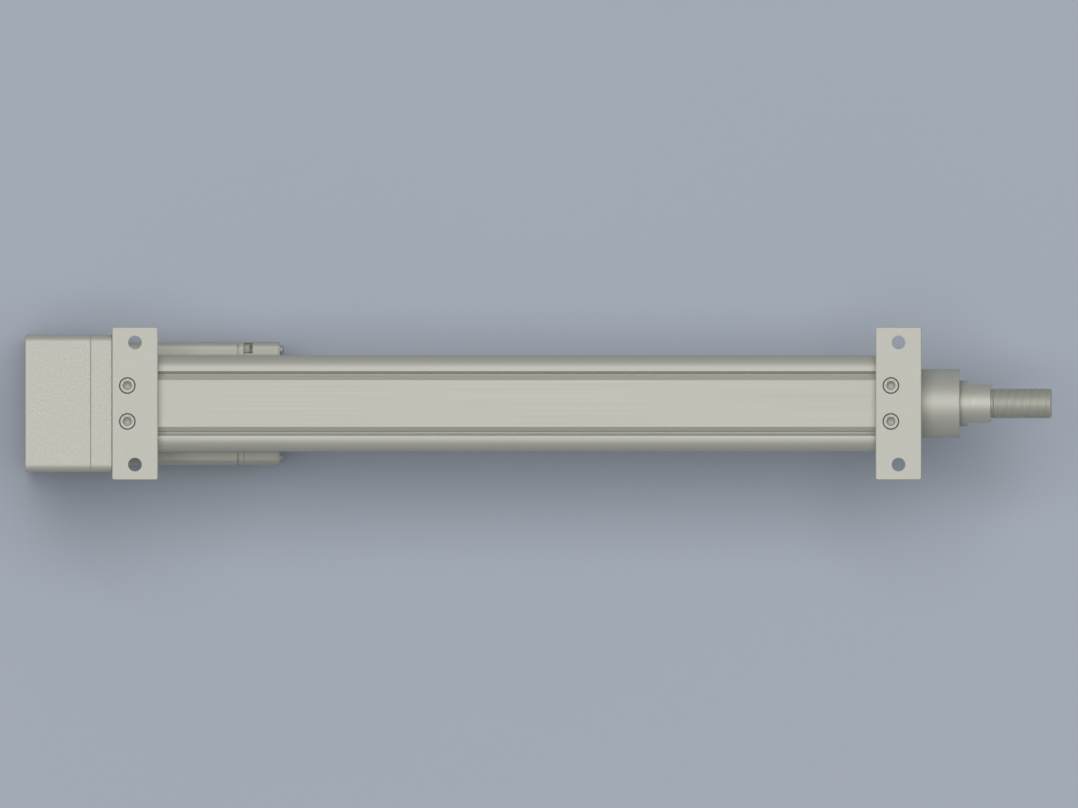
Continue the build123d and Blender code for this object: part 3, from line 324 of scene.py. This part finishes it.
def thread_skin(shape, angles, start, end, radius, pitch, depth, chamfer):
    """A right-hand thread between two plane circles, with the chamfer at its end."""
    root = radius - depth
    flank = (1 - CREST_SHARE - ROOT_SHARE) / 2
    profile = [
        (0.0, radius),
        (CREST_SHARE, radius),
        (CREST_SHARE + flank, root),
        (1 - flank, root),
    ]
    whole_turns = floor((end - start) / pitch)
    rows = []
    for turn in range(-SPARE_TURNS, whole_turns + SPARE_TURNS + 1):
        for share, reach in profile:
            row = []
            for angle in angles:
                z = start + pitch * (turn + share + angle / (2 * pi))
                z = max(start, min(end, z))
                # The thread rises from its root at the start and falls with the chamfer at the end
                limit = min(root + z - start, radius - max(0.0, z - (end - chamfer)))
                row.append(shape.verts.new(around([angle], min(reach, limit), z)[0]))
            rows.append(row)
    for i in range(len(rows) - len(profile) - 1):
        for j in range(len(angles)):
            if j + 1 < len(angles):
                near, far = rows[i][j + 1], rows[i + 1][j + 1]
            else:
                # Once round, a row goes on in the row of the next turn
                near, far = rows[i + len(profile)][0], rows[i + len(profile) + 1][0]
            shape.faces.new((rows[i][j], near, far, rows[i + 1][j]))


# Rod end: a collar with two spanner flats, an undercut and a male thread
END_SIDES = 96
SPIGOT_LENGTH = 25.0 * MM
SPIGOT_RADIUS = 11.45 * MM
SPIGOT_CHAMFER = 0.5 * MM
COLLAR_LENGTH = 15.0 * MM
FLAT_HALF_WIDTH = 12.75 * MM
RELIEF_LENGTH = 1.0 * MM
THREAD_TO_COLLAR = 2 / 3
THREAD_PITCH = 1.5 * MM
THREAD_DEPTH = 0.85 * MM
TIP_CHAMFER = 1.5 * MM
CENTRE_DRILL_RADIUS = 2.0 * MM
CENTRE_DRILL_MOUTH = 3.0 * MM
CENTRE_DRILL_DEPTH = 7.0 * MM
CENTRE_DRILL_SLOPE = radians(30)
NEARLY_ZERO = 1e-6

# Puts the Z axis along X, X along Y, and Y along Z
ALONG_THE_ROD = Matrix(((0, 0, 1, 0), (1, 0, 0, 0), (0, 1, 0, 0), (0, 0, 0, 1)))


def flatted(angles, radius, z):
    """Points round the Z axis with a flat on each side."""
    ring = []
    for angle in angles:
        reach = min(radius, FLAT_HALF_WIDTH / max(abs(cos(angle)), NEARLY_ZERO))
        ring.append((reach * cos(angle), reach * sin(angle), z))
    return ring


def rod_end():
    """The rod's end as one closed mesh, from the spigot in the rod to the centre drilling."""
    low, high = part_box("rod_end")
    tip = high.x
    collar_radius = high.z
    thread_radius = collar_radius * THREAD_TO_COLLAR
    root = thread_radius - THREAD_DEPTH
    shoulder = low.x + SPIGOT_LENGTH
    collar_end = shoulder + COLLAR_LENGTH
    thread_start = collar_end + RELIEF_LENGTH
    cone_end = tip - (CENTRE_DRILL_MOUTH - CENTRE_DRILL_RADIUS) / tan(CENTRE_DRILL_SLOPE)

    flat_half_length = (collar_radius**2 - FLAT_HALF_WIDTH**2) ** 0.5
    corner = atan2(flat_half_length, FLAT_HALF_WIDTH)
    corners = [corner, pi - corner, pi + corner, 2 * pi - corner]
    angles = sorted([2 * pi * i / END_SIDES for i in range(END_SIDES)] + corners)

    shape = bmesh.new()
    first, _ = skin(shape, [
        around(angles, SPIGOT_RADIUS - SPIGOT_CHAMFER, low.x),
        around(angles, SPIGOT_RADIUS, low.x + SPIGOT_CHAMFER),
        around(angles, SPIGOT_RADIUS, shoulder),
        flatted(angles, collar_radius, shoulder),
        flatted(angles, collar_radius, collar_end - EDGE_BREAK),
        around(angles, FLAT_HALF_WIDTH - EDGE_BREAK, collar_end),
        around(angles, root, collar_end),
        around(angles, root, thread_start),
    ])
    thread_skin(shape, angles, thread_start, tip, thread_radius,
                THREAD_PITCH, THREAD_DEPTH, TIP_CHAMFER)
    _, last = skin(shape, [
        around(angles, thread_radius - TIP_CHAMFER, tip),
        around(angles, CENTRE_DRILL_MOUTH, tip),
        around(angles, CENTRE_DRILL_RADIUS, cone_end),
        around(angles, CENTRE_DRILL_RADIUS, tip - CENTRE_DRILL_DEPTH),
    ])
    shape.faces.new(reversed(first))
    shape.faces.new(last)
    mesh = finished(shape, "rod_end_threaded", SHARP_ANGLE)
    mesh.transform(ALONG_THE_ROD)
    piece(mesh, "rod_end_threaded", "rod", "rod_end_steel", ["rod_end"])


rod_end()


# Screws
SCREW_SIDES = 144
SCREW_ANGLES = [2 * pi * i / SCREW_SIDES for i in range(SCREW_SIDES)]
KNURLS = 36
KNURL_DEPTH = 0.14 * MM

# A shank's pointed end, as shares of its radius
POINT_RADIUS = 0.7
POINT_LENGTH = 0.3

# A hexagon socket's chamfered mouth and drill point
HEXAGON_CHAMFER_WIDTH = 0.1 * MM
HEXAGON_CHAMFER_DEPTH = 0.25 * MM
DRILL_TIP_RADIUS = 0.15 * MM
DRILL_TIP_SLOPE = 0.4

# A cap screw's head and hexagon, from its thread
HEAD_TO_THREAD = 1.5
HEAD_ALLOWANCE = 1.0 * MM
HEXAGON_ALLOWANCE = 1.0 * MM
HEXAGON_DEPTH_TO_THREAD = 0.5
HEAD_CHAMFER_TO_THREAD = 0.08
HEAD_FOOT_CHAMFER = 0.3 * MM

# The lid screws' rounded heads, the last three as shares of their height or radius
LID_HEAD_RADIUS = 3.0 * MM
LID_HEAD_HEIGHT = 2.5 * MM
LID_HEAD_FOOT_CHAMFER = 0.1 * MM
LID_HEXAGON_HALF_WIDTH = 1.0 * MM
DOME_STEPS = 7
DOME_FOOT_HEIGHT = 0.3
DOME_TOP_RADIUS = 0.55
LID_HEXAGON_DEPTH = 0.6

M3 = 3.0 * MM
M4 = 4.0 * MM
M5 = 5.0 * MM
M6 = 6.0 * MM
FORWARD = Vector((1, 0, 0))
BACKWARD = Vector((-1, 0, 0))
UP = Vector((0, 0, 1))


def circle(radius, z):
    """Points of a circle about the Z axis."""
    return around(SCREW_ANGLES, radius, z)


def knurled_circle(radius, z):
    """Points of a circle with rounded ridges."""
    ring = []
    for angle in SCREW_ANGLES:
        reach = radius - KNURL_DEPTH * (1 - cos(KNURLS * angle)) / 2
        ring.append((reach * cos(angle), reach * sin(angle), z))
    return ring


def hexagon(half_width, z):
    """Points of a hexagon, as many as in a circle."""
    ring = []
    for angle in SCREW_ANGLES:
        from_flat = (angle + pi / 6) % (pi / 3) - pi / 6
        reach = half_width / cos(from_flat)
        ring.append((reach * cos(angle), reach * sin(angle), z))
    return ring


def shank_rings(radius, length):
    """Rings of a shank from its pointed end up to z = 0."""
    return [
        circle(radius * POINT_RADIUS, -length),
        circle(radius, -length + radius * POINT_LENGTH),
        circle(radius, 0.0),
    ]


def hexagon_rings(half_width, top, depth):
    """Rings of a hexagon socket with a chamfered mouth and a drill point."""
    mouth = half_width / cos(pi / 6)
    return [
        circle(mouth + HEXAGON_CHAMFER_WIDTH, top),
        hexagon(half_width, top - HEXAGON_CHAMFER_DEPTH),
        hexagon(half_width, top - depth),
        circle(DRILL_TIP_RADIUS, top - depth - half_width * DRILL_TIP_SLOPE),
    ]


def cap_screw(thread, length):
    """Rings of a hexagon socket head cap screw, seated at z = 0 with its head upwards."""
    head = (HEAD_TO_THREAD * thread + HEAD_ALLOWANCE) / 2
    chamfer = thread * HEAD_CHAMFER_TO_THREAD
    return [
        *shank_rings(thread / 2, length),
        circle(head - HEAD_FOOT_CHAMFER, 0.0),
        knurled_circle(head, HEAD_FOOT_CHAMFER),
        knurled_circle(head, thread - chamfer),
        circle(head - chamfer, thread),
        *hexagon_rings((thread - HEXAGON_ALLOWANCE) / 2, thread, thread * HEXAGON_DEPTH_TO_THREAD),
    ]


def lid_screw(thread, length):
    """Rings of a hexagon socket screw with a rounded head, seated at z = 0."""
    head = LID_HEAD_RADIUS
    height = LID_HEAD_HEIGHT
    rings = shank_rings(thread / 2, length)
    rings += [
        circle(head - LID_HEAD_FOOT_CHAMFER, 0.0),
        circle(head, LID_HEAD_FOOT_CHAMFER),
        circle(head, height * DOME_FOOT_HEIGHT),
    ]
    for i in range(1, DOME_STEPS):
        angle = pi / 2 * i / DOME_STEPS
        reach = DOME_TOP_RADIUS + (1 - DOME_TOP_RADIUS) * cos(angle)
        rise = DOME_FOOT_HEIGHT + (1 - DOME_FOOT_HEIGHT) * sin(angle)
        rings.append(circle(head * reach, height * rise))
    rings += hexagon_rings(LID_HEXAGON_HALF_WIDTH, height, height * LID_HEXAGON_DEPTH)
    return rings


def linked_points(start, seen):
    """Points of all corners that edges link to a corner. These corners are then seen."""
    seen.add(start)
    waiting = [start]
    points = []
    while waiting:
        vert = waiting.pop()
        points.append(vert.co.copy())
        for edge in vert.link_edges:
            other = edge.other_vert(vert)
            if other not in seen:
                seen.add(other)
                waiting.append(other)
    return points


def solids(name):
    """The lowest and highest corner of each separate solid of a CAD node."""
    shape = bmesh.new()
    shape.from_mesh(frame["nodes"][name].data)
    bmesh.ops.remove_doubles(shape, verts=shape.verts, dist=SEAM)
    found = []
    seen = set()
    for start in shape.verts:
        if start not in seen:
            points = linked_points(start, seen)
            low = Vector([min(point[k] for point in points) for k in range(3)])
            high = Vector([max(point[k] for point in points) for k in range(3)])
            found.append((low, high))
    shape.free()
    return found


def end_of(low, high, axis):
    """The middle of a box's side that an axis points out of."""
    middle = (low + high) / 2
    half = (high - low) / 2
    return middle + Vector([half[k] * axis[k] for k in range(3)])


def screws(cad_name, name, kind, thread, head_height, axis):
    """Detailed screws in place of a CAD node's, one at each of its solids."""
    turn = axis.to_track_quat("Z", "Y").to_matrix().to_4x4()
    boxes = solids(cad_name)
    low, high = boxes[0]
    length = abs((high - low).dot(axis)) - head_height
    seats = [end_of(low, high, axis) - axis * head_height for low, high in boxes]
    single = ring_solid(name, kind(thread, length))
    mesh = copies(single, name, [Matrix.Translation(seat) @ turn for seat in seats])
    piece(mesh, name, "housing", "steel_screws", [cad_name])


screws("front_cap_screws", "front_cap_socket_screws", cap_screw, M6, M6, FORWARD)
screws("rear_cap_screws", "rear_cap_socket_screws", cap_screw, M6, M6, BACKWARD)
screws("front_foot_screws", "front_foot_socket_screws", cap_screw, M6, M6, UP)
screws("rear_foot_screws", "rear_foot_socket_screws", cap_screw, M6, M6, UP)
screws("cover_screws", "cover_socket_screws", cap_screw, M5, M5, BACKWARD)
screws("motor_tie_screws", "motor_tie_socket_screws", cap_screw, M4, M4, FORWARD)
screws("encoder_lid_screws", "encoder_lid_domed_screws", lid_screw, M3, LID_HEAD_HEIGHT, FORWARD)


# Sockets under the motor, each built upwards from z = 0 and then turned to hang down. Insert,
# pins and base screws are sunk a little into what they stand on.
BASE_HEIGHT = 3.0 * MM
BASE_CORNER = 2.0 * MM
BARREL_RADIUS = 8.5 * MM
BARREL_THREAD_LENGTH = 7.0 * MM
BARREL_PITCH = 1.0 * MM
BARREL_THREAD_DEPTH = 0.55 * MM
BORE_RADIUS = 7.0 * MM
BORE_DEPTH = 9.0 * MM
INSERT_RADIUS = 4.5 * MM
INSERT_DROP = 5.0 * MM
PIN_HEIGHT = 4.0 * MM
PIN_CIRCLE_RADIUS = 0.64 * INSERT_RADIUS
SUNK = 0.4 * MM
POWER_PINS = 6
POWER_PIN_RADIUS = 0.75 * MM
ENCODER_PINS = 9
ENCODER_PIN_RADIUS = 0.5 * MM

# A pin's rounded end: its radius and its depth below the tip, as shares of the pin's radius
PIN_TIP = ((1.0, 1.0), (0.8, 0.4), (0.3, 0.0))

BASE_SCREW_OFFSET = 7.9 * MM
BASE_SCREW_RADIUS = 1.4 * MM
BASE_SCREW_TOP_RADIUS = 1.1 * MM
BASE_SCREW_EDGE = 0.6 * MM
BASE_SCREW_HEIGHT = 1.0 * MM
BASE_SCREW_HEXAGON_HALF_WIDTH = 0.6 * MM
BASE_SCREW_HEXAGON_DEPTH = 0.7 * MM


def rounded_square(half, z):
    """Points of a square with rounded corners, as many as in a circle."""
    ring = []
    middle = half - BASE_CORNER
    for x, y, _ in circle(1.0, z):
        reach = half / max(abs(x), abs(y))
        if min(abs(x), abs(y)) * reach > middle:
            along = (abs(x) + abs(y)) * middle
            reach = along + (along**2 - 2 * middle**2 + BASE_CORNER**2) ** 0.5
        ring.append((x * reach, y * reach, z))
    return ring


def socket_shell(name, half, mouth):
    """A square base and a barrel with a male thread and an open bore."""
    thread_start = mouth - BARREL_THREAD_LENGTH
    root = BARREL_RADIUS - BARREL_THREAD_DEPTH
    shape = bmesh.new()
    first, _ = skin(shape, [
        rounded_square(half, 0.0),
        rounded_square(half, BASE_HEIGHT - EDGE_BREAK),
        rounded_square(half - EDGE_BREAK, BASE_HEIGHT),
        circle(BARREL_RADIUS, BASE_HEIGHT),
        circle(BARREL_RADIUS, thread_start - EDGE_BREAK),
        circle(root, thread_start),
    ])
    thread_skin(shape, SCREW_ANGLES, thread_start, mouth, BARREL_RADIUS,
                BARREL_PITCH, BARREL_THREAD_DEPTH, BARREL_THREAD_DEPTH)
    _, last = skin(shape, [
        circle(root, mouth),
        circle(BORE_RADIUS + EDGE_BREAK / 2, mouth),
        circle(BORE_RADIUS, mouth - EDGE_BREAK),
        circle(BORE_RADIUS, mouth - BORE_DEPTH),
    ])
    shape.faces.new(reversed(first))
    shape.faces.new(last)
    return finished(shape, name, SMALL_SHARP_ANGLE)


def socket_insert(name, mouth):
    """The insulator that the pins stand in."""
    face = mouth - INSERT_DROP
    return ring_solid(name, [
        circle(INSERT_RADIUS, mouth - BORE_DEPTH - SUNK),
        circle(INSERT_RADIUS, face - EDGE_BREAK / 2),
        circle(INSERT_RADIUS - EDGE_BREAK / 2, face),
    ])


def socket_pin(face, radius):
    """A pin with a rounded end that stands on the insert's face."""
    tip = face + PIN_HEIGHT
    rings = [circle(radius, face - SUNK)]
    rings += [circle(radius * reach, tip - radius * drop) for reach, drop in PIN_TIP]
    return ring_solid("pin", rings)


def base_screw():
    """A small hexagon socket screw in the base."""
    top = BASE_HEIGHT + BASE_SCREW_HEIGHT
    return ring_solid("base_screw", [
        circle(BASE_SCREW_RADIUS, BASE_HEIGHT - SUNK),
        circle(BASE_SCREW_RADIUS, BASE_HEIGHT + BASE_SCREW_EDGE),
        circle(BASE_SCREW_TOP_RADIUS, top),
        *hexagon_rings(BASE_SCREW_HEXAGON_HALF_WIDTH, top, BASE_SCREW_HEXAGON_DEPTH),
    ])


def connector(cad_name, pins, pin_radius):
    """A socket's shell, insert, pins and base screws in place of a CAD node."""
    low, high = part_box(cad_name)
    middle = (low + high) / 2
    seat = Vector((middle.x, middle.y, high.z))
    down = Matrix.Translation(seat) @ Matrix.Rotation(pi, 4, "X")
    mouth = high.z - low.z

    shell = socket_shell(cad_name + "_shell", (high.x - low.x) / 2, mouth)
    shell.transform(down)
    piece(shell, cad_name + "_shell", "housing", "connector_metal", [cad_name])

    insert = socket_insert(cad_name + "_insert", mouth)
    insert.transform(down)
    piece(insert, cad_name + "_insert", "housing", "seal_rubber")

    outer_pins = [2 * pi * i / (pins - 1) for i in range(pins - 1)]
    spots = [(0.0, 0.0, 0.0)] + around(outer_pins, PIN_CIRCLE_RADIUS, 0.0)
    places = [down @ Matrix.Translation(spot) for spot in spots]
    pin = socket_pin(mouth - INSERT_DROP, pin_radius)
    all_pins = copies(pin, cad_name + "_pins", places)
    piece(all_pins, cad_name + "_pins", "housing", "bronze")

    sides = (-BASE_SCREW_OFFSET, BASE_SCREW_OFFSET)
    places = [down @ Matrix.Translation((x, y, 0.0)) for x in sides for y in sides]
    all_screws = copies(base_screw(), cad_name + "_screws", places)
    piece(all_screws, cad_name + "_screws", "housing", "steel_screws")


connector("power_connector", POWER_PINS, POWER_PIN_RADIUS)
connector("encoder_connector", ENCODER_PINS, ENCODER_PIN_RADIUS)


# Floor and light
FLOOR_SIZE = 30.0
FLOOR_GAP = 0.5 * MM
FLOOR_COLOUR = (0.45, 0.5, 0.58)
FLOOR_ROUGHNESS = 0.9
FLOOR_PATCHES = (3.0, 3.0, 3.0)
FLOOR_CONTRAST = 0.015
SUN_STRENGTH = 1.85
SUN_ANGLE = 0.7
SUN_DIRECTION = (-0.03, 0.12, 1.0)
SKY_COLOUR = (1.0, 1.0, 1.0)
SKY_TOP = 0.24
SKY_EDGE = 0.14


def floor_plane():
    """A pale floor under the object."""
    height = model_low.z - FLOOR_GAP
    bpy.ops.mesh.primitive_plane_add(size=FLOOR_SIZE, location=(0, 0, height))
    made = bpy.context.object
    made.name = "floor"
    finish = bpy.data.materials.new("floor")
    finish.use_nodes = True
    tree = finish.node_tree
    shader = tree.nodes["Principled BSDF"]
    shader.inputs["Roughness"].default_value = FLOOR_ROUGHNESS
    tone = toned(tree, noise(tree, FLOOR_PATCHES), FLOOR_COLOUR, FLOOR_CONTRAST)
    tree.links.new(tone, shader.inputs["Base Color"])
    made.data.materials.append(finish)


def lamp():
    """A soft lamp from nearly straight above."""
    data = bpy.data.lights.new("key", "SUN")
    data.energy = SUN_STRENGTH
    data.angle = SUN_ANGLE
    key = in_scene("key", data)
    key.rotation_mode = "QUATERNION"
    key.rotation_quaternion = Vector(SUN_DIRECTION).to_track_quat("Z", "Y")


def sky():
    """A plain sky that is brighter overhead."""
    world = bpy.data.worlds.new("sky")
    world.use_nodes = True
    bpy.context.scene.world = world
    tree = world.node_tree
    coordinates = node(tree, "ShaderNodeTexCoord")
    parts = node(tree, "ShaderNodeSeparateXYZ")
    ramp = node(tree, "ShaderNodeMapRange")
    ramp.inputs["To Min"].default_value = SKY_EDGE
    ramp.inputs["To Max"].default_value = SKY_TOP
    background = tree.nodes["Background"]
    background.inputs["Color"].default_value = (*SKY_COLOUR, 1.0)
    tree.links.new(coordinates.outputs["Generated"], parts.inputs["Vector"])
    tree.links.new(parts.outputs["Z"], ramp.inputs["Value"])
    tree.links.new(ramp.outputs["Result"], background.inputs["Strength"])


floor_plane()
lamp()
sky()

bpy.context.scene.view_settings.view_transform = "Standard"
